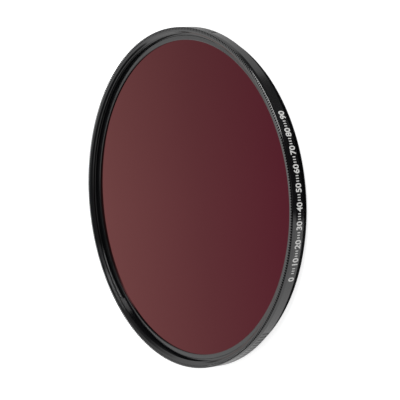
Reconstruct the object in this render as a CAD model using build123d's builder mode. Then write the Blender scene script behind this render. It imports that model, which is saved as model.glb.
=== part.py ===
from build123d import *
import math
import os

# Screw-in solar filter for a 77 mm camera lens, in millimetres.
# It lies on the end of its rear thread: the optical axis is +Z, the front face is up, z = 0 is the rear end.

# Driving dimensions
thread_diameter = 77.0        # M77 x 0.75, the standard front thread of such lenses
thread_pitch = 0.75
thread_engagement = 1.0825    # of the pitch, taken off the diameter at the crests of a female thread
rim_wall = 1.1                # grip band and tips of the front teeth stand out this far over the thread

# Heights of the filter ring, from the rear end to the front face
male_length = 2.1             # rear thread, screwed into the lens
band_height = 2.2             # grip band with its markings
shoulder_height = 0.5         # bevel that leads from the groove up to the band
groove_height = 0.35          # neck behind the front teeth
teeth_height = 0.3            # toothed flange at the front face

# Radii of the outside of the ring
groove_depth = 0.5            # neck below the band and the tooth tips
relief_depth = 0.6            # undercut where the rear thread runs out
relief_width = 0.35
band_edge = 0.1               # small chamfer at the rear of the band
thread_lead = 0.3             # chamfer at the end of the rear thread

# Front teeth and the straight grip
teeth_count = 420
tooth_depth = 0.4
grip_per_turn = 210           # grooves that would fill the whole turn
grip_grooves = 140            # the rest of the band is smooth and carries the markings
grip_start = -20.0            # degrees from +X, where the first land begins
grip_land = 0.45              # share of the pitch that stays at full height
grip_depth = 0.22
grip_margin = 0.25            # plain strip of the band in front of and behind the grip

# Front thread
front_lead = 0.45             # chamfer into the thread
recess_depth = 1.7            # front face down to its foot and to the top of the retaining ring

# Glass and the way it is held
glass_thickness = 2.0
glass_edge = 0.15             # ground chamfer round the glass
glass_play = 0.1              # radial clearance of the glass in its bore
glass_seat = 0.55             # covered edge of the glass, the same at the front and the rear
retainer_setback = 0.4        # ledge from the front thread in to the finer one of the retaining ring
retainer_lip = 0.33           # height of the retaining ring over the glass
retainer_skirt = 0.7          # how far it reaches down beside the glass
retainer_wall = 0.3           # thickness of the skirt
retainer_play = 0.05          # its clearance all round and below its skirt
retainer_edge = 0.08          # broken edge next to the glass
rear_lead = 0.4               # chamfer at the rear of the aperture

# Worked out from the sizes above
male_radius = thread_diameter / 2
outer_radius = male_radius + rim_wall
neck_radius = outer_radius - groove_depth
female_radius = (thread_diameter - thread_engagement * thread_pitch) / 2
retainer_bore_radius = female_radius - retainer_setback
retainer_radius = retainer_bore_radius - retainer_play
skirt_inner_radius = retainer_radius - retainer_wall
glass_bore_radius = skirt_inner_radius - retainer_play
glass_radius = glass_bore_radius - glass_play
aperture_radius = glass_radius - glass_seat

band_bottom = male_length
band_top = band_bottom + band_height
groove_bottom = band_top + shoulder_height
groove_top = groove_bottom + groove_height
front_height = groove_top + teeth_height
grip_bottom = band_bottom + grip_margin
grip_top = band_top - grip_margin
grip_core = outer_radius - grip_depth
grip_pitch = 360 / grip_per_turn
grip_end = grip_start + grip_grooves * grip_pitch
smooth_middle = (grip_end + grip_start + 360) / 2
retainer_top = front_height - recess_depth
glass_top = retainer_top - retainer_lip
glass_bottom = glass_top - glass_thickness
skirt_bottom = glass_top - retainer_skirt
bore_step = skirt_bottom - retainer_play


def rim_point(radius, degrees):
    """A point of the rim outline at an angle about the axis."""
    angle = math.radians(degrees)
    return (radius * math.cos(angle), radius * math.sin(angle))


def tooth_points():
    """Outline of the front teeth: a sharp tip, then the bottom of the notch."""
    pitch = 360 / teeth_count
    points = []
    for index in range(teeth_count):
        points.append(rim_point(outer_radius, index * pitch))
        points.append(rim_point(outer_radius - tooth_depth, (index + 0.5) * pitch))
    return points


def grip_points():
    """Outline of the grip: a flat land, then a V groove, and a land at the end."""
    points = []
    for index in range(grip_grooves):
        start = grip_start + index * grip_pitch
        points.append(rim_point(outer_radius, start))
        points.append(rim_point(outer_radius, start + grip_land * grip_pitch))
        points.append(rim_point(grip_core, start + (1 + grip_land) / 2 * grip_pitch))
    points.append(rim_point(outer_radius, grip_end))
    return points


with BuildPart() as filter_ring:
    # Turned body: section through one side of the ring
    with BuildSketch(Plane.XZ):
        with BuildLine():
            Polyline(
                (aperture_radius + rear_lead, 0),
                (male_radius - thread_lead, 0),
                (male_radius, thread_lead),
                (male_radius, band_bottom - relief_width),
                (male_radius - relief_depth, band_bottom - relief_width),
                (male_radius - relief_depth, band_bottom),
                (outer_radius - band_edge, band_bottom),
                (outer_radius, band_bottom + band_edge),
                (outer_radius, grip_bottom),
                (grip_core, grip_bottom),
                (grip_core, grip_top),
                (outer_radius, grip_top),
                (outer_radius, band_top),
                (neck_radius, groove_bottom),
                (neck_radius, front_height),
                (female_radius + front_lead, front_height),
                (female_radius, front_height - front_lead),
                (female_radius, retainer_top),
                (retainer_bore_radius, retainer_top),
                (retainer_bore_radius, bore_step),
                (glass_bore_radius, bore_step),
                (glass_bore_radius, glass_bottom),
                (aperture_radius, glass_bottom),
                (aperture_radius, rear_lead),
                close=True,
            )
        make_face()
    revolve(axis=Axis.Z)

    # Band: grooved grip, with a smooth arc between its ends
    with BuildSketch(Plane.XY.offset(grip_bottom)):
        with BuildLine():
            grooves = Polyline(grip_points())
            ThreePointArc(grooves @ 1, rim_point(outer_radius, smooth_middle), grooves @ 0)
        make_face()
        Circle(grip_core - grip_depth, mode=Mode.SUBTRACT)
    extrude(amount=grip_top - grip_bottom)

    # Toothed flange round the front face
    with BuildSketch(Plane.XY.offset(groove_top)):
        with BuildLine():
            Polyline(tooth_points(), close=True)
        make_face()
        Circle(neck_radius - tooth_depth, mode=Mode.SUBTRACT)
    extrude(amount=teeth_height)

filter_ring.part.label = "filter_ring"

with BuildPart() as glass:
    with BuildSketch(Plane.XY.offset(glass_bottom)):
        Circle(glass_radius)
    extrude(amount=glass_thickness)
    chamfer(glass.edges().filter_by(GeomType.CIRCLE), length=glass_edge)

glass.part.label = "glass"

with BuildPart() as retaining_ring:
    # The lip lies on the glass, and the skirt screws down beside it
    with BuildSketch(Plane.XZ):
        with BuildLine():
            Polyline(
                (aperture_radius, glass_top),
                (skirt_inner_radius, glass_top),
                (skirt_inner_radius, skirt_bottom),
                (retainer_radius, skirt_bottom),
                (retainer_radius, retainer_top),
                (aperture_radius + retainer_edge, retainer_top),
                (aperture_radius, retainer_top - retainer_edge),
                close=True,
            )
        make_face()
    revolve(axis=Axis.Z)

retaining_ring.part.label = "retaining_ring"

os.makedirs("parts", exist_ok=True)
export_step(filter_ring.part, "parts/filter_ring.step")
export_step(glass.part, "parts/glass.step")
export_step(retaining_ring.part, "parts/retaining_ring.step")
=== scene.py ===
import math

import bmesh
import bpy
from mathutils import Matrix, Vector


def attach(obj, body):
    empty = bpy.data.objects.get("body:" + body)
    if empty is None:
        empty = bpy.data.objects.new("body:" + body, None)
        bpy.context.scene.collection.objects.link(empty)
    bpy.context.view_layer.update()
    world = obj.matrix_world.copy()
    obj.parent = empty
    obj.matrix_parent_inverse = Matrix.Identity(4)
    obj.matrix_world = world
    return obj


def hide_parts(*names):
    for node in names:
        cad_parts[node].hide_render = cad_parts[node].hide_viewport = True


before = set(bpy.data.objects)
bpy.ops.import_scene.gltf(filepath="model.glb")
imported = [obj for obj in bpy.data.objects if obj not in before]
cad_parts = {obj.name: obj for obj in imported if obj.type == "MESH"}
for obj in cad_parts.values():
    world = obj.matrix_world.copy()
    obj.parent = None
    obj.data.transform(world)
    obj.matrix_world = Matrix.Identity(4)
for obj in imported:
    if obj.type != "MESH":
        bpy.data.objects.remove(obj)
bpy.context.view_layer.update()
print("frame loaded")

mm = 0.001


# small helpers


def linear(hexColour):
    channels = [int(hexColour[i : i + 2], 16) / 255 for i in (1, 3, 5)]
    return tuple(c / 12.92 if c <= 0.04045 else ((c + 0.055) / 1.055) ** 2.4 for c in channels) + (1.0,)


# adds a node; its inputs come in order or by name, each a value, a socket or a node whose output is used
def addNode(tree, kind, inputs=(), **settings):
    node = tree.nodes.new(kind)
    for name, value in settings.items():
        setattr(node, name, value)
    for key, value in inputs.items() if isinstance(inputs, dict) else enumerate(inputs):
        if isinstance(value, bpy.types.Node):
            value = next(socket for socket in value.outputs if socket.enabled)
        if isinstance(value, bpy.types.NodeSocket):
            tree.links.new(value, node.inputs[key])
        else:
            node.inputs[key].default_value = value
    return node


def newPiece(name, data):
    piece = bpy.data.objects.new(name, data)
    bpy.context.scene.collection.objects.link(piece)
    return piece


# ends the work on a bmesh: doubles merged, faces outwards, put on a new piece
def closedPiece(name, mesh, merge):
    bmesh.ops.remove_doubles(mesh, verts=mesh.verts, dist=merge)
    bmesh.ops.recalc_face_normals(mesh, faces=mesh.faces)
    data = bpy.data.meshes.new(name)
    mesh.to_mesh(data)
    mesh.free()
    return newPiece(name, data)


# closed lathe: the section is a loop of (radius, height) in mm, run with the solid on its left
def turnedPiece(name, section, steps):
    mesh = bmesh.new()
    rings = []
    for k in range(steps):
        angle = 2 * math.pi * k / steps
        c, s = math.cos(angle), math.sin(angle)
        rings.append([mesh.verts.new((r * c * mm, r * s * mm, z * mm)) for r, z in section])
    count = len(section)
    for k in range(steps):
        here, ahead = rings[k], rings[(k + 1) % steps]
        for i in range(count):
            j = (i + 1) % count
            mesh.faces.new((here[i], ahead[i], ahead[j], here[j]))
    return closedPiece(name, mesh, 1e-7)


# geometry node tree with named inputs, given as name: (kind, default)
def newTree(name, sizes):
    tree = bpy.data.node_groups.new(name, "GeometryNodeTree")
    tree.interface.new_socket("Geometry", in_out="OUTPUT", socket_type="NodeSocketGeometry")
    tree.interface.new_socket("Geometry", in_out="INPUT", socket_type="NodeSocketGeometry")
    for label, (kind, default) in sizes.items():
        socket = tree.interface.new_socket(label, in_out="INPUT", socket_type="NodeSocket" + kind)
        if default is not None:
            socket.default_value = default
    return tree, addNode(tree, "NodeGroupInput").outputs


# last two steps of every tree
def endTree(tree, geometry, material):
    whole = addNode(tree, "GeometryNodeRealizeInstances", {"Geometry": geometry})
    dressed = addNode(tree, "GeometryNodeSetMaterial", {"Geometry": whole, "Material": material})
    addNode(tree, "NodeGroupOutput", [dressed])


# puts the tree on the piece and sets its named inputs
def runTree(piece, tree, values):
    modifier = piece.modifiers.new(tree.name, "NODES")
    modifier.node_group = tree
    for item in tree.interface.items_tree:
        if item.item_type == "SOCKET" and item.in_out == "INPUT" and item.name in values:
            modifier[item.identifier] = values[item.name]


# turns a piece with modifiers into a plain mesh at the origin
def plainPiece(piece):
    name = piece.name
    graph = bpy.context.evaluated_depsgraph_get()
    data = bpy.data.meshes.new_from_object(piece.evaluated_get(graph))
    bpy.data.objects.remove(piece)
    data.name = name
    return newPiece(name, data)


# materials

finish = {
    "anodBlack": "#0f0f11",
    "ringRough": 0.15,
    "retainerRough": 0.2,
    "anodDrift": 0.03,  # how far the roughness wanders from its middle value
    "anodCloud": 4.545,  # mm, the size of the patches that it wanders in
    "oxideIor": 1.76,
    "turnPitch": 0.24,  # mm between turning lines, three times the real feed so that they show
    "turnShare": 0.35,  # their part of the relief; the rest is grain
    "grainSize": 0.05,  # mm, blasted grain under the oxide
    "reliefDepth": 0.0006,  # mm
    "reliefStrength": 0.35,
    "glassTints": {0.34: "#4b081c", 0.366: "#4f0a1d", 0.403: "#582026", 0.445: "#693333", 0.7: "#8e6a60"},
    "glassMetal": 0.9,  # share of the metal film in what the glass shows
    "glassRough": 0.04,
    "glassDrift": 0.015,
    "glassCloud": 28.57,
    "inkWhite": "#e4e4e2",
    "inkRough": 0.6,
    "inkDrift": 0.04,
    "inkCloud": 0.111,
}


def newMaterial(name):
    material = bpy.data.materials.new(name)
    material.use_nodes = True
    material.node_tree.nodes.clear()
    return material, material.node_tree


# roughness that wanders a little over the surface, in clouds of the given size in mm
def unevenRoughness(tree, place, size, middle, drift):
    cloud = addNode(tree, "ShaderNodeTexNoise", {"Vector": place, "Scale": 1 / (size * mm), "Detail": 3.0})
    return addNode(
        tree,
        "ShaderNodeMapRange",
        {"Value": cloud, "From Min": 0.3, "From Max": 0.7, "To Min": middle - drift, "To Max": middle + drift},
    )


# black anodised aluminium, fine turned: a dyed skin of clear hard oxide, deep black with sharp grey reflections
def anodisedBlack(name, roughness):
    material, tree = newMaterial(name)
    place = addNode(tree, "ShaderNodeTexCoord").outputs["Object"]
    flat = addNode(tree, "ShaderNodeVectorMath", [place, (1.0, 1.0, 0.0)], operation="MULTIPLY")
    radius = addNode(tree, "ShaderNodeVectorMath", [flat], operation="LENGTH")
    height = addNode(tree, "ShaderNodeSeparateXYZ", [place]).outputs["Z"]
    run = addNode(tree, "ShaderNodeMath", [radius, height], operation="ADD")  # lines on faces and walls alike
    linesPerMetre = 1 / (finish["turnPitch"] * mm)
    phase = addNode(tree, "ShaderNodeMath", [run, 2 * math.pi * linesPerMetre], operation="MULTIPLY")
    turning = addNode(tree, "ShaderNodeMath", [phase], operation="SINE")
    grainScale = 1 / (finish["grainSize"] * mm)
    grain = addNode(
        tree, "ShaderNodeTexNoise", {"Vector": place, "Scale": grainScale, "Detail": 2.0, "Roughness": 0.6}
    )
    relief = addNode(tree, "ShaderNodeMath", [turning, finish["turnShare"], grain], operation="MULTIPLY_ADD")
    bump = addNode(
        tree,
        "ShaderNodeBump",
        {"Strength": finish["reliefStrength"], "Distance": finish["reliefDepth"] * mm, "Height": relief},
    )
    shader = addNode(
        tree,
        "ShaderNodeBsdfPrincipled",
        {
            "Base Color": linear(finish["anodBlack"]),
            "Roughness": unevenRoughness(tree, place, finish["anodCloud"], roughness, finish["anodDrift"]),
            "Normal": bump,
            "IOR": finish["oxideIor"],
        },
    )
    addNode(tree, "ShaderNodeOutputMaterial", {"Surface": shader})
    return material


# solar filter glass with a metal film, polished: a dark red mirror, browner where it is seen at a lower angle,
# with a little of the dark body colour of the glass in it
def coatedGlass(name):
    material, tree = newMaterial(name)
    place = addNode(tree, "ShaderNodeTexCoord").outputs["Object"]
    facing = addNode(tree, "ShaderNodeLayerWeight", {"Blend": 0.5}).outputs["Facing"]
    tint = addNode(tree, "ShaderNodeValToRGB", {"Fac": facing})
    stops = tint.color_ramp.elements
    for position, colour in finish["glassTints"].items():
        stops.new(position).color = linear(colour)
    stops.remove(stops[len(stops) - 1])  # the two stops that a new ramp has
    stops.remove(stops[0])
    shader = addNode(
        tree,
        "ShaderNodeBsdfPrincipled",
        {
            "Base Color": tint,
            "Metallic": finish["glassMetal"],
            "Roughness": unevenRoughness(
                tree, place, finish["glassCloud"], finish["glassRough"], finish["glassDrift"]
            ),
        },
    )
    addNode(tree, "ShaderNodeOutputMaterial", {"Surface": shader})
    return material


# white marking ink, screen printed: flat and slightly chalky
def markingInk(name):
    material, tree = newMaterial(name)
    place = addNode(tree, "ShaderNodeTexCoord").outputs["Object"]
    shader = addNode(
        tree,
        "ShaderNodeBsdfPrincipled",
        {
            "Base Color": linear(finish["inkWhite"]),
            "Roughness": unevenRoughness(
                tree, place, finish["inkCloud"], finish["inkRough"], finish["inkDrift"]
            ),
        },
    )
    addNode(tree, "ShaderNodeOutputMaterial", {"Surface": shader})
    return material


ringFinish = anodisedBlack("blackAnodisedRing", finish["ringRough"])
retainerFinish = anodisedBlack("blackAnodisedRetainer", finish["retainerRough"])
glassFinish = coatedGlass("coatedFilterGlass")
inkFinish = markingInk("whiteMarkingInk")
print("materials ready")

# filter ring: turned body, then the knurling; radii and heights in mm

ring = {
    "steps": 2520,  # six to each front tooth
    "outer": 39.6,
    "neck": 38.85,
    "rearCrest": 38.5,
    "rearRoot": 38.04,
    "rearLead": 0.3,  # chamfer at the end of the rear thread
    "rearCore": (0.36, 0.62, 1.75),  # full thread, thread cut to its root, end of the thread
    "runOut": 37.9,
    "bandLow": 2.1,
    "bandEdge": 0.1,
    "shoulder": [(39.6, 4.27), (39.585, 4.33), (39.45, 4.93), (39.37, 5.01)],  # two broken edges and a taper
    "neckLow": 5.03,
    "neckTop": 5.15,
    "toothEdge": 0.05,
    "faceEdge": 0.06,
    "front": 5.45,
    "faceSlope": 0.27,  # the front face falls this much per mm towards the thread
    "frontLead": [(38.6, 5.196), (38.24, 4.836), (38.094, 4.75)],
    "frontCrest": 38.094,
    "frontRoot": 38.5,
    "frontCore": (4.66, 4.44, 3.75),  # full thread, thread cut to its root, foot of the recess
    "retainerBore": (37.694, 2.67),
    "glassBore": (37.294, 1.42),
    "aperture": 36.644,
    "apertureLead": 0.4,
    "teeth": 420,
    "toothDepth": 0.6,
    "toothLand": 0.333,  # share of the pitch that stays at full radius
    "gripPerTurn": 210,
    "gripStart": -20.0,  # degrees from +X
    "gripSweep": 240.0,
    "gripLand": 0.5,
    "gripDepth": 0.22,
    "gripLow": 2.35,
    "gripHigh": 4.05,
    "gripRamp": 0.05,  # height over which a groove reaches its depth
}

rearFull, rearCut, rearEnd = ring["rearCore"]
frontFull, frontCut, recessFoot = ring["frontCore"]
retainerBore, boreStep = ring["retainerBore"]
glassBore, glassSeat = ring["glassBore"]
ringBody = turnedPiece(
    "filterRing",
    [
        (ring["aperture"] + ring["apertureLead"], 0.0),
        (ring["rearCrest"] - ring["rearLead"], 0.0),
        (ring["rearCrest"], ring["rearLead"]),
        (ring["rearCrest"], rearFull),
        (ring["rearRoot"], rearCut),
        (ring["rearRoot"], rearEnd),
        (ring["runOut"], rearEnd),
        (ring["runOut"], ring["bandLow"]),
        (ring["outer"] - ring["bandEdge"], ring["bandLow"]),
        (ring["outer"], ring["bandLow"] + ring["bandEdge"]),
        (ring["outer"], ring["gripLow"]),
        (ring["outer"], ring["gripLow"] + ring["gripRamp"]),
        (ring["outer"], ring["gripHigh"] - ring["gripRamp"]),
        (ring["outer"], ring["gripHigh"]),
        *ring["shoulder"],
        (ring["neck"], ring["neckLow"]),
        (ring["neck"], ring["neckTop"]),
        (ring["outer"] - ring["toothEdge"], ring["neckTop"]),
        (ring["outer"], ring["neckTop"] + ring["toothEdge"]),
        (ring["outer"], ring["front"] - ring["faceEdge"]),
        (ring["outer"] - ring["faceEdge"], ring["front"]),
        *ring["frontLead"],
        (ring["frontCrest"], frontFull),
        (ring["frontRoot"], frontCut),
        (ring["frontRoot"], recessFoot),
        (retainerBore, recessFoot),
        (retainerBore, boreStep),
        (glassBore, boreStep),
        (glassBore, glassSeat),
        (ring["aperture"], glassSeat),
        (ring["aperture"], ring["apertureLead"]),
    ],
    ring["steps"],
)


# moves the skin of the turned ring inwards: V teeth at the front flange, V grooves along the grip
def knurlTree():
    tree, size = newTree(
        "knurling",
        {
            "Teeth": ("Int", 420),
            "Tooth Depth": ("Float", 0.0004),
            "Tooth Land": ("Float", 0.3),
            "Flange Bottom": ("Float", 0.005),
            "Face Height": ("Float", 0.0054),
            "Face Slope": ("Float", 0.25),
            "Grooves per Turn": ("Int", 210),
            "Groove Depth": ("Float", 0.0002),
            "Groove Land": ("Float", 0.5),
            "Grip Start": ("Float", 0.0),
            "Grip Sweep": ("Float", 240.0),
            "Grip Bottom": ("Float", 0.002),
            "Grip Top": ("Float", 0.004),
            "Skin Radius": ("Float", 0.039),
            "Material": ("Material", None),
        },
    )
    place = addNode(tree, "GeometryNodeInputPosition")
    x, y, z = addNode(tree, "ShaderNodeSeparateXYZ", [place]).outputs
    flat = addNode(tree, "ShaderNodeVectorMath", [place, (1.0, 1.0, 0.0)], operation="MULTIPLY")
    radius = addNode(tree, "ShaderNodeVectorMath", [flat], operation="LENGTH")
    bearing = addNode(tree, "ShaderNodeMath", [y, x], operation="ARCTAN2")
    turn = addNode(tree, "ShaderNodeMath", [bearing, 2 * math.pi], operation="DIVIDE")

    # depth of a V notch here: each pitch has its land round phase 0 and its notch round phase 0.5
    def notch(phase, land, depth):
        offMiddle = addNode(tree, "ShaderNodeMath", [phase, 0.5], operation="PINGPONG")
        halfLand = addNode(tree, "ShaderNodeMath", [land, 0.5], operation="MULTIPLY")
        return addNode(
            tree,
            "ShaderNodeMapRange",
            {"Value": offMiddle, "From Min": halfLand, "From Max": 0.5, "To Min": 0.0, "To Max": depth},
        )

    toothPhase = addNode(tree, "ShaderNodeMath", [turn, size["Teeth"]], operation="MULTIPLY")
    tooth = notch(toothPhase, size["Tooth Land"], size["Tooth Depth"])
    inFlange = addNode(tree, "ShaderNodeMath", [z, size["Flange Bottom"]], operation="GREATER_THAN")
    cut = addNode(tree, "ShaderNodeMath", [tooth, inFlange], operation="MULTIPLY")

    # the grip begins with a whole land
    startTurn = addNode(tree, "ShaderNodeMath", [size["Grip Start"], 360.0], operation="DIVIDE")
    sweepTurn = addNode(tree, "ShaderNodeMath", [size["Grip Sweep"], 360.0], operation="DIVIDE")
    pastStart = addNode(tree, "ShaderNodeMath", [turn, startTurn], operation="SUBTRACT")
    along = addNode(tree, "ShaderNodeMath", [pastStart], operation="FRACT")
    grooves = addNode(tree, "ShaderNodeMath", [along, size["Grooves per Turn"]], operation="MULTIPLY")
    halfLand = addNode(tree, "ShaderNodeMath", [size["Groove Land"], 0.5], operation="MULTIPLY")
    groovePhase = addNode(tree, "ShaderNodeMath", [grooves, halfLand], operation="SUBTRACT")
    groove = notch(groovePhase, size["Groove Land"], size["Groove Depth"])
    for value, limit, test in (
        (along, sweepTurn, "LESS_THAN"),
        (z, size["Grip Bottom"], "GREATER_THAN"),
        (z, size["Grip Top"], "LESS_THAN"),
    ):
        inside = addNode(tree, "ShaderNodeMath", [value, limit], operation=test)
        groove = addNode(tree, "ShaderNodeMath", [groove, inside], operation="MULTIPLY")

    # along the cone of the front face, otherwise straight towards the axis
    cut = addNode(tree, "ShaderNodeMath", [cut, groove], operation="ADD")
    onSkin = addNode(tree, "ShaderNodeMath", [radius, size["Skin Radius"]], operation="GREATER_THAN")
    cut = addNode(tree, "ShaderNodeMath", [cut, onSkin], operation="MULTIPLY")
    onFace = addNode(tree, "ShaderNodeMath", [z, size["Face Height"]], operation="GREATER_THAN")
    fall = addNode(tree, "ShaderNodeMath", [onFace, size["Face Slope"]], operation="MULTIPLY")
    outward = addNode(tree, "ShaderNodeVectorMath", [flat], operation="NORMALIZE")
    uphill = addNode(tree, "ShaderNodeCombineXYZ", {"Z": fall})
    outward = addNode(tree, "ShaderNodeVectorMath", [outward, uphill], operation="ADD")
    push = addNode(tree, "ShaderNodeVectorMath", {0: outward, "Scale": cut}, operation="SCALE")
    target = addNode(tree, "ShaderNodeVectorMath", [place, push], operation="SUBTRACT")
    moved = addNode(tree, "GeometryNodeSetPosition", {"Geometry": size["Geometry"], "Position": target})
    endTree(tree, moved, size["Material"])
    return tree


runTree(
    ringBody,
    knurlTree(),
    {
        "Teeth": ring["teeth"],
        "Tooth Depth": ring["toothDepth"] * mm,
        "Tooth Land": ring["toothLand"],
        "Flange Bottom": (ring["neckLow"] + ring["neckTop"]) / 2 * mm,
        "Face Height": (ring["front"] - ring["faceEdge"] / 2) * mm,
        "Face Slope": ring["faceSlope"],
        "Grooves per Turn": ring["gripPerTurn"],
        "Groove Depth": ring["gripDepth"] * mm,
        "Groove Land": ring["gripLand"],
        "Grip Start": ring["gripStart"],
        "Grip Sweep": ring["gripSweep"],
        "Grip Bottom": (ring["gripLow"] + ring["gripRamp"] / 2) * mm,
        "Grip Top": (ring["gripHigh"] - ring["gripRamp"] / 2) * mm,
        "Skin Radius": (ring["neck"] + ring["outer"]) / 2 * mm,
        "Material": ringFinish,
    },
)
ringBody = plainPiece(ringBody)
print("ring turned and knurled")

# threads: a ridge swept along a right-handed helix

threads = {
    "pitch": 0.75,
    "base": 0.64,
    "tip": 0.10,
    "sink": 0.03,  # the base sits this far inside the body
    "stepsPerTurn": 360,
    "rear": (0.78, 1.42),  # heights of the two ends of the ridge
    "front": (3.98, 4.25),
}


def threadTree():
    tree, size = newTree(
        "thread ridge",
        {
            "Radius": ("Float", 0.0383),
            "Pitch": ("Float", 0.00075),
            "Turns": ("Float", 1.5),
            "Depth": ("Float", 0.0005),
            "Base Width": ("Float", 0.0006),
            "Tip Width": ("Float", 0.0001),
            "Quarter Turns": ("Float", 1.0),  # 1 points the tip inwards, -1 outwards
            "Bottom": ("Float", 0.0),
            "Steps per Turn": ("Int", 360),
            "Material": ("Material", None),
        },
    )
    rise = addNode(tree, "ShaderNodeMath", [size["Pitch"], size["Turns"]], operation="MULTIPLY")
    helix = addNode(
        tree,
        "GeometryNodeCurveSpiral",
        {
            "Resolution": size["Steps per Turn"],
            "Rotations": size["Turns"],
            "Start Radius": size["Radius"],
            "End Radius": size["Radius"],
            "Height": rise,
            "Reverse": True,
        },
    )
    upright = addNode(tree, "GeometryNodeSetCurveNormal", {"Curve": helix}, mode="Z_UP")
    ridge = addNode(
        tree,
        "GeometryNodeCurvePrimitiveQuadrilateral",
        {
            "Bottom Width": size["Base Width"],
            "Top Width": size["Tip Width"],
            "Height": size["Depth"],
            "Offset": 0.0,
        },
        mode="TRAPEZOID",
    )
    angle = addNode(tree, "ShaderNodeMath", [size["Quarter Turns"], math.pi / 2], operation="MULTIPLY")
    spin = addNode(tree, "ShaderNodeCombineXYZ", {"Z": angle})
    turned = addNode(tree, "GeometryNodeTransform", {"Geometry": ridge, "Rotation": spin})
    swept = addNode(
        tree, "GeometryNodeCurveToMesh", {"Curve": upright, "Profile Curve": turned, "Fill Caps": True}
    )
    lift = addNode(tree, "ShaderNodeCombineXYZ", {"Z": size["Bottom"]})
    placed = addNode(tree, "GeometryNodeTransform", {"Geometry": swept, "Translation": lift})
    endTree(tree, placed, size["Material"])
    return tree


def threadRidge(name, tree, root, crest, ends):
    bottom, top = ends
    sink = threads["sink"] if root < crest else -threads["sink"]
    piece = newPiece(name, bpy.data.meshes.new(name))
    runTree(
        piece,
        tree,
        {
            "Radius": (root - sink + crest) / 2 * mm,
            "Pitch": threads["pitch"] * mm,
            "Turns": (top - bottom) / threads["pitch"],
            "Depth": abs(crest - root + sink) * mm,
            "Base Width": threads["base"] * mm,
            "Tip Width": threads["tip"] * mm,
            "Quarter Turns": -1.0 if root < crest else 1.0,
            "Bottom": bottom * mm,
            "Steps per Turn": threads["stepsPerTurn"],
            "Material": ringFinish,
        },
    )
    piece = plainPiece(piece)
    mesh = bmesh.new()
    mesh.from_mesh(piece.data)
    bpy.data.objects.remove(piece)
    piece = closedPiece(name, mesh, 1e-7)
    piece.data.materials.append(ringFinish)
    return piece


ridgeTree = threadTree()
rearThread = threadRidge("rearThread", ridgeTree, ring["rearRoot"], ring["rearCrest"], threads["rear"])
frontThread = threadRidge("frontThread", ridgeTree, ring["frontRoot"], ring["frontCrest"], threads["front"])
print("threads cut")

# glass: flat disc with a ground edge

glass = {"radius": 37.194, "bottom": 1.42, "top": 3.42, "edge": 0.15, "steps": 512}

glassDisc = turnedPiece(
    "filterGlass",
    [
        (0.0, glass["bottom"]),
        (glass["radius"] - glass["edge"], glass["bottom"]),
        (glass["radius"], glass["bottom"] + glass["edge"]),
        (glass["radius"], glass["top"] - glass["edge"]),
        (glass["radius"] - glass["edge"], glass["top"]),
        (0.0, glass["top"]),
    ],
    glass["steps"],
)
glassDisc.data.materials.append(glassFinish)

# retaining ring: lip on the glass, skirt beside it

retainer = {
    "steps": 1440,
    "bore": 36.644,
    "outer": 37.644,
    "skirt": 37.344,
    "low": 2.72,
    "glassTop": 3.42,
    "top": 3.75,
    "rim": 0.04,  # chamfer at the outside
    "edge": 0.17,  # chamfer next to the glass
    "edgeSlope": 0.58,  # cut at 30 degrees
}

retainingRing = turnedPiece(
    "retainingRing",
    [
        (retainer["bore"], retainer["glassTop"]),
        (retainer["skirt"], retainer["glassTop"]),
        (retainer["skirt"], retainer["low"]),
        (retainer["outer"], retainer["low"]),
        (retainer["outer"], retainer["top"] - retainer["rim"]),
        (retainer["outer"] - retainer["rim"], retainer["top"]),
        (retainer["bore"] + retainer["edge"], retainer["top"]),
        (retainer["bore"], retainer["top"] - retainer["edge"] * retainer["edgeSlope"]),
    ],
    retainer["steps"],
)
retainingRing.data.materials.append(retainerFinish)
print("glass and retaining ring ready")

# markings: a plain scale on the smooth arc of the band

scale = {
    "start": -117.0,  # degrees from +X, the middle of the first numeral
    "step": 6.0,
    "numerals": [0, 10, 20, 30, 40, 50, 60, 70, 80, 90],
    "numeralHeight": 1.5,
    "capShare": 0.72,  # height of a numeral as a share of the font size
    "curveSteps": 6,
    "low": 2.48,
    "bold": 0.05,  # mm added round each stroke
    "ink": 0.012,  # mm proud of the band
    "sink": 0.01,
    "ticksPerGap": 3,
    "tickSpacing": 0.85,  # degrees
    "tickWidth": 0.22,
    "tickHeight": 0.75,
}
inkDepth = scale["ink"] + scale["sink"]
inkMiddle = (scale["ink"] - scale["sink"]) / 2


# a numeral laid round the band, x along the arc and y up
def addNumeral(mesh, text, degrees):
    curve = bpy.data.curves.new("numeral", "FONT")
    curve.body = text
    curve.size = scale["numeralHeight"] / scale["capShare"]
    curve.align_x = "CENTER"
    curve.resolution_u = scale["curveSteps"]
    curve.offset = scale["bold"]
    curve.extrude = inkDepth / 2
    piece = plainPiece(newPiece("numeral", curve))
    for vertex in piece.data.vertices:
        along, up, out = vertex.co
        angle = math.radians(degrees) + along / ring["outer"]
        radius = ring["outer"] + inkMiddle + out
        vertex.co = (radius * math.cos(angle) * mm, radius * math.sin(angle) * mm, (scale["low"] + up) * mm)
    mesh.from_mesh(piece.data)
    bpy.data.objects.remove(piece)


labels = bmesh.new()
for k, number in enumerate(scale["numerals"]):
    addNumeral(labels, str(number), scale["start"] + k * scale["step"])
bandNumerals = closedPiece("bandNumerals", labels, 1e-8)
bandNumerals.data.materials.append(inkFinish)


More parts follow.
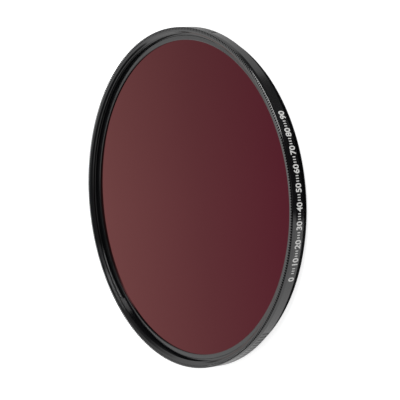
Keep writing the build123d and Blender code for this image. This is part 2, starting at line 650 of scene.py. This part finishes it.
# short ticks between the numerals
def tickTree():
    tree, size = newTree(
        "scale ticks",
        {
            "Gaps": ("Int", 9),
            "Ticks per Gap": ("Int", 3),
            "Start": ("Float", 0.0),
            "Step": ("Float", 6.0),
            "Spacing": ("Float", 0.85),
            "Radius": ("Float", 0.0396),
            "Middle Height": ("Float", 0.003),
            "Width": ("Float", 0.00016),
            "Height": ("Float", 0.0007),
            "Thickness": ("Float", 0.00002),
            "Material": ("Material", None),
        },
    )
    index = addNode(tree, "GeometryNodeInputIndex")
    count = addNode(tree, "ShaderNodeMath", [size["Gaps"], size["Ticks per Gap"]], operation="MULTIPLY")
    middle = addNode(tree, "ShaderNodeMath", [size["Ticks per Gap"], 0.5, -0.5], operation="MULTIPLY_ADD")
    inGap = addNode(tree, "ShaderNodeMath", [index, size["Ticks per Gap"]], operation="MODULO")
    before = addNode(tree, "ShaderNodeMath", [index, inGap], operation="SUBTRACT")
    gap = addNode(tree, "ShaderNodeMath", [before, size["Ticks per Gap"]], operation="DIVIDE")
    offMiddle = addNode(tree, "ShaderNodeMath", [inGap, middle], operation="SUBTRACT")
    gapStart = addNode(tree, "ShaderNodeMath", [gap, size["Step"], size["Start"]], operation="MULTIPLY_ADD")
    degrees = addNode(tree, "ShaderNodeMath", [offMiddle, size["Spacing"], gapStart], operation="MULTIPLY_ADD")
    angle = addNode(tree, "ShaderNodeMath", [degrees], operation="RADIANS")
    reach = addNode(tree, "ShaderNodeCombineXYZ", {"X": size["Radius"], "Z": size["Middle Height"]})
    spot = addNode(
        tree, "ShaderNodeVectorRotate", {"Vector": reach, "Angle": angle}, rotation_type="Z_AXIS"
    )
    points = addNode(tree, "GeometryNodePoints", {"Count": count, "Position": spot})
    extent = addNode(
        tree, "ShaderNodeCombineXYZ", {"X": size["Thickness"], "Y": size["Width"], "Z": size["Height"]}
    )
    tick = addNode(tree, "GeometryNodeMeshCube", {"Size": extent})
    facing = addNode(tree, "ShaderNodeCombineXYZ", {"Z": angle})
    row = addNode(
        tree, "GeometryNodeInstanceOnPoints", {"Points": points, "Instance": tick, "Rotation": facing}
    )
    endTree(tree, row, size["Material"])
    return tree


bandTicks = newPiece("bandTicks", bpy.data.meshes.new("bandTicks"))
runTree(
    bandTicks,
    tickTree(),
    {
        "Gaps": len(scale["numerals"]) - 1,
        "Ticks per Gap": scale["ticksPerGap"],
        "Spacing": scale["tickSpacing"],
        "Start": scale["start"] + scale["step"] / 2,
        "Step": scale["step"],
        "Radius": (ring["outer"] + inkMiddle) * mm,
        "Middle Height": (scale["low"] + scale["numeralHeight"] / 2) * mm,
        "Width": scale["tickWidth"] * mm,
        "Height": scale["tickHeight"] * mm,
        "Thickness": inkDepth * mm,
        "Material": inkFinish,
    },
)
bandTicks = plainPiece(bandTicks)
print("scale printed")

for piece in (ringBody, rearThread, frontThread):
    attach(piece, "root")
    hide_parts("filter_ring")
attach(glassDisc, "root")
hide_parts("glass")
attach(retainingRing, "root")
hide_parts("retaining_ring")
for piece in (bandNumerals, bandTicks):
    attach(piece, "root")

# camera, from the fit of the rim in the photograph

view = {
    "right": (-0.0570, -0.5989, -0.7988),
    "up": (0.9975, 0.0, -0.0712),
    "back": (0.0426, -0.8008, 0.5974),
    "place": (18.304, -358.413, 267.766),  # mm
    "lens": 172.42,
    "sensor": 36.0,
    "clip": (0.01, 20.0),
}

camera = newPiece("camera", bpy.data.cameras.new("camera"))
camera.data.sensor_width = view["sensor"]
camera.data.lens = view["lens"]
camera.data.clip_start, camera.data.clip_end = view["clip"]
cameraAxes = Matrix((view["right"], view["up"], view["back"])).transposed()
camera.matrix_world = Matrix.Translation(Vector(view["place"]) * mm) @ cameraAxes.to_4x4()
bpy.context.scene.camera = camera

# floor: white paper, clean white where no shadow falls; glossy rays pass through to the studio round it

paper = {"half": 4.0, "white": "#f4f4f4", "lift": 0.7}  # half its side in metres; lift is added for the camera

half = paper["half"]
floorMesh = bpy.data.meshes.new("floor")
corners = [(-half, -half, 0), (half, -half, 0), (half, half, 0), (-half, half, 0)]
floorMesh.from_pydata(corners, [], [(0, 1, 2, 3)])
floor = newPiece("floor", floorMesh)
paperFinish, tree = newMaterial("whitePaper")
rays = addNode(tree, "ShaderNodeLightPath").outputs
matt = addNode(tree, "ShaderNodeBsdfDiffuse", {"Color": linear(paper["white"])})
strength = addNode(tree, "ShaderNodeMath", [rays["Is Camera Ray"], paper["lift"]], operation="MULTIPLY")
lift = addNode(tree, "ShaderNodeEmission", {"Color": linear("#ffffff"), "Strength": strength})
seen = addNode(tree, "ShaderNodeAddShader", [matt, lift])
clear = addNode(tree, "ShaderNodeBsdfTransparent")
surface = addNode(tree, "ShaderNodeMixShader", [rays["Is Glossy Ray"], seen, clear])
addNode(tree, "ShaderNodeOutputMaterial", {"Surface": surface})
floorMesh.materials.append(paperFinish)

# studio: a white sweep behind and below the object in the photograph's frame, dark to its sides and above

studio = {
    "fill": 0.6,
    "darkLevel": 0.02,
    # soft-edged patches: the side each lies to, the cosines of its two edges, the levels there
    "patches": {
        "left": ("right", -0.5, -0.75, 0.0, 1.0),  # what only the left of the ring mirrors
        "sweepLeft": ("away", -0.09, 0.2, 0.0, 1.0),
        "sweepFade": ("away", 0.4, 0.65, 1.0, 0.78),  # the left sweep is weaker at its far end
        "sweepEdge": ("down", -0.03, 0.085, 0.82, 1.0),  # and high up
        "sweepRest": ("away", 0.28, 0.33, 0.0, 1.0),
        "sweepTop": ("down", -0.5, 0.5, 0.6, 1.0),
        "tableLeft": ("down", 0.12, 0.25, 0.0, 0.7),
        "tableRest": ("down", 0.20, 0.235, 0.0, 1.0),
        "tableRight": ("right", 0.05, 0.25, 0.0, 1.0),
        "overhead": ("up", 0.48, 0.6, 0.0, 0.10),
        "window": ("camera", 0.94, 0.985, 0.0, 0.4),  # behind the camera, for the views from the far side
        "ceiling": ("sky", 0.93, 0.99, 0.0, 0.07),  # straight above, for the view from the top
    },
    "keyStrength": 9.0,
    "keyWidth": 0.11,
    "keyLength": 0.38,
    "keyDistance": 0.6,
    "keyFrom": (0.452, -0.514, 0.728),  # directions of its two ends
    "keyTo": (0.829, -0.074, 0.555),
}
sides = {
    "right": view["right"],
    "up": view["up"],
    "down": tuple(-c for c in view["up"]),
    "camera": view["back"],
    "away": tuple(-c for c in view["back"]),
    "sky": (0.0, 0.0, 1.0),
}

world = bpy.data.worlds.new("studio")
bpy.context.scene.world = world
world.use_nodes = True
tree = world.node_tree
tree.nodes.clear()
toward = addNode(tree, "ShaderNodeTexCoord").outputs["Generated"]
patch = {}
for name, (side, begin, end, low, high) in studio["patches"].items():
    lean = addNode(tree, "ShaderNodeVectorMath", [toward, sides[side]], operation="DOT_PRODUCT")
    patch[name] = addNode(
        tree,
        "ShaderNodeMapRange",
        {"Value": lean, "From Min": begin, "From Max": end, "To Min": low, "To Max": high},
    )
leftSweep = addNode(tree, "ShaderNodeMath", [patch["sweepLeft"], patch["sweepFade"]], operation="MULTIPLY")
leftSweep = addNode(tree, "ShaderNodeMath", [leftSweep, patch["sweepEdge"]], operation="MULTIPLY")
restSweep = addNode(tree, "ShaderNodeMath", [patch["sweepRest"], patch["sweepTop"]], operation="MULTIPLY")
restTable = addNode(tree, "ShaderNodeMath", [patch["tableRest"], patch["tableRight"]], operation="MULTIPLY")
mirrored = addNode(tree, "ShaderNodeMix", {0: patch["left"], 2: restSweep, 3: leftSweep})
table = addNode(tree, "ShaderNodeMix", {0: patch["left"], 2: restTable, 3: patch["tableLeft"]})
for glow in (table, patch["overhead"], patch["window"], patch["ceiling"], studio["darkLevel"]):
    mirrored = addNode(tree, "ShaderNodeMath", [mirrored, glow], operation="MAXIMUM")
rays = addNode(tree, "ShaderNodeLightPath").outputs
level = addNode(tree, "ShaderNodeMix", {0: rays["Is Glossy Ray"], 2: studio["fill"], 3: mirrored})
level = addNode(tree, "ShaderNodeMix", {0: rays["Is Camera Ray"], 2: level, 3: 1.0})
sky = addNode(tree, "ShaderNodeBackground", {"Color": linear("#ffffff"), "Strength": level})
addNode(tree, "ShaderNodeOutputWorld", {"Surface": sky})

keyData = bpy.data.lights.new("keyLight", "AREA")
keyData.shape = "RECTANGLE"
keyData.size = studio["keyWidth"]
keyData.size_y = studio["keyLength"]
keyData.energy = studio["keyStrength"] * math.pi * studio["keyWidth"] * studio["keyLength"]
key = newPiece("keyLight", keyData)
aim = (Vector(studio["keyFrom"]) + Vector(studio["keyTo"])).normalized()
across = aim.cross(Vector(studio["keyFrom"]) - Vector(studio["keyTo"])).normalized()
keyAxes = Matrix((across, aim.cross(across), aim)).transposed()
key.matrix_world = Matrix.Translation(aim * studio["keyDistance"]) @ keyAxes.to_4x4()

bpy.context.scene.view_settings.view_transform = "Standard"
print("studio ready")
